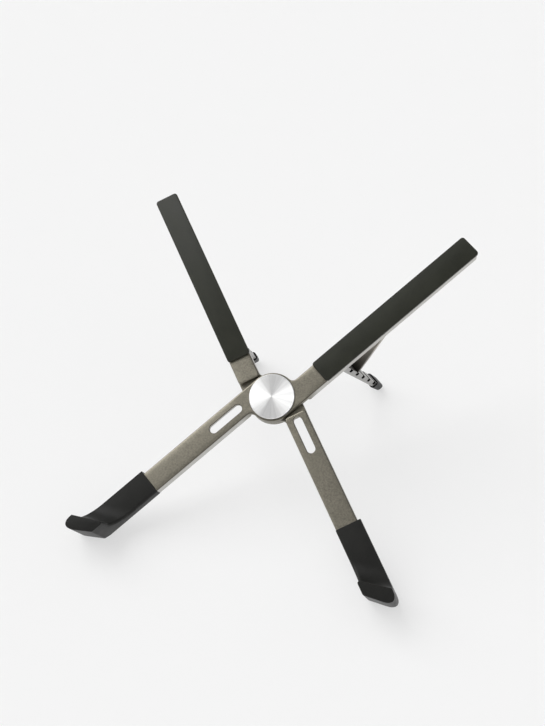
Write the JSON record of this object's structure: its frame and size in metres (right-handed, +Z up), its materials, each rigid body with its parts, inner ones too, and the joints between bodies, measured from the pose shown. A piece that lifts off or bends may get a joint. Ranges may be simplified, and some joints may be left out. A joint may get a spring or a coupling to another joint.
{
  "type": "laptop stand",
  "caption": "Folding X-shaped laptop stand: crossing metal bars on a friction pivot, rubber front hooks and rear pads, and notched rear legs propped by struts.",
  "frame": {"origin": "middle of the footprint, on the floor", "axes": "+Z up, -Y towards the front hooks, +X to the right seen from the front"},
  "size_m": [0.1838, 0.1828, 0.123],
  "materials": {
    "bar_metal": "gunmetal, satin with a fine sparkle",
    "leg_metal": "light grey, satin",
    "strut_metal": "warm grey, satin, darker at the toe",
    "disc_metal": "spun, bright",
    "steel": "plain turned steel",
    "boot_rubber": "soft satin black",
    "pad_rubber": "matte warm black",
    "cap_rubber": "satin black",
    "hard_plastic": "moulded black"
  },
  "bodies": {
    "lower": {"lower_arm": "bar_metal", "right_hook_boot": "boot_rubber", "left_pad": "pad_rubber", "left_leg_pin": "steel", "left_leg_washers": "hard_plastic", "left_strut_pin": "steel", "friction_washer": "hard_plastic", "pivot_plug": "hard_plastic"},
    "upper": {"upper_arm": "bar_metal", "left_hook_boot": "boot_rubber", "right_pad": "pad_rubber", "right_leg_pin": "steel", "right_leg_washers": "hard_plastic", "right_strut_pin": "steel", "pivot_disc": "disc_metal", "pivot_bolt": "steel", "pivot_nut": "steel", "spring_washer": "steel"},
    "left_leg": {"left_leg": "leg_metal", "left_foot_cap": "cap_rubber"},
    "right_leg": {"right_leg": "leg_metal", "right_foot_cap": "cap_rubber"},
    "left_strut": {"left_strut": "strut_metal"},
    "right_strut": {"right_strut": "strut_metal"}
  },
  "joints": [
    {"name": "scissor", "type": "hinge", "parent": "lower", "child": "upper", "pos_m": [0, -0.00579, 0.05879], "axis": [0, -0.5991, 0.8006], "range_deg": [0, 75]},
    {"name": "left_leg_fold", "type": "hinge", "parent": "lower", "child": "left_leg", "pos_m": [-0.03094, 0.0196, 0.07254], "axis": [0.7934, 0.4874, 0.3647], "range_deg": [0, 79]},
    {"name": "left_strut_fold", "type": "hinge", "parent": "lower", "child": "left_strut", "pos_m": [-0.05066, 0.0397, 0.08858], "axis": [0.7934, 0.4874, 0.3647], "range_deg": [0, 128.2]},
    {"name": "right_leg_fold", "type": "hinge", "parent": "upper", "child": "right_leg", "pos_m": [0.03094, 0.0196, 0.07254], "axis": [0.7934, -0.4874, -0.3647], "range_deg": [0, 79]},
    {"name": "right_strut_fold", "type": "hinge", "parent": "upper", "child": "right_strut", "pos_m": [0.05066, 0.0397, 0.08858], "axis": [0.7934, -0.4874, -0.3647], "range_deg": [0, 128.2]}
  ],
  "couplings": [
    {"joint": "left_strut_fold", "follows": "left_leg_fold", "ratio": 1.6214},
    {"joint": "right_strut_fold", "follows": "right_leg_fold", "ratio": 1.6214}
  ]
}
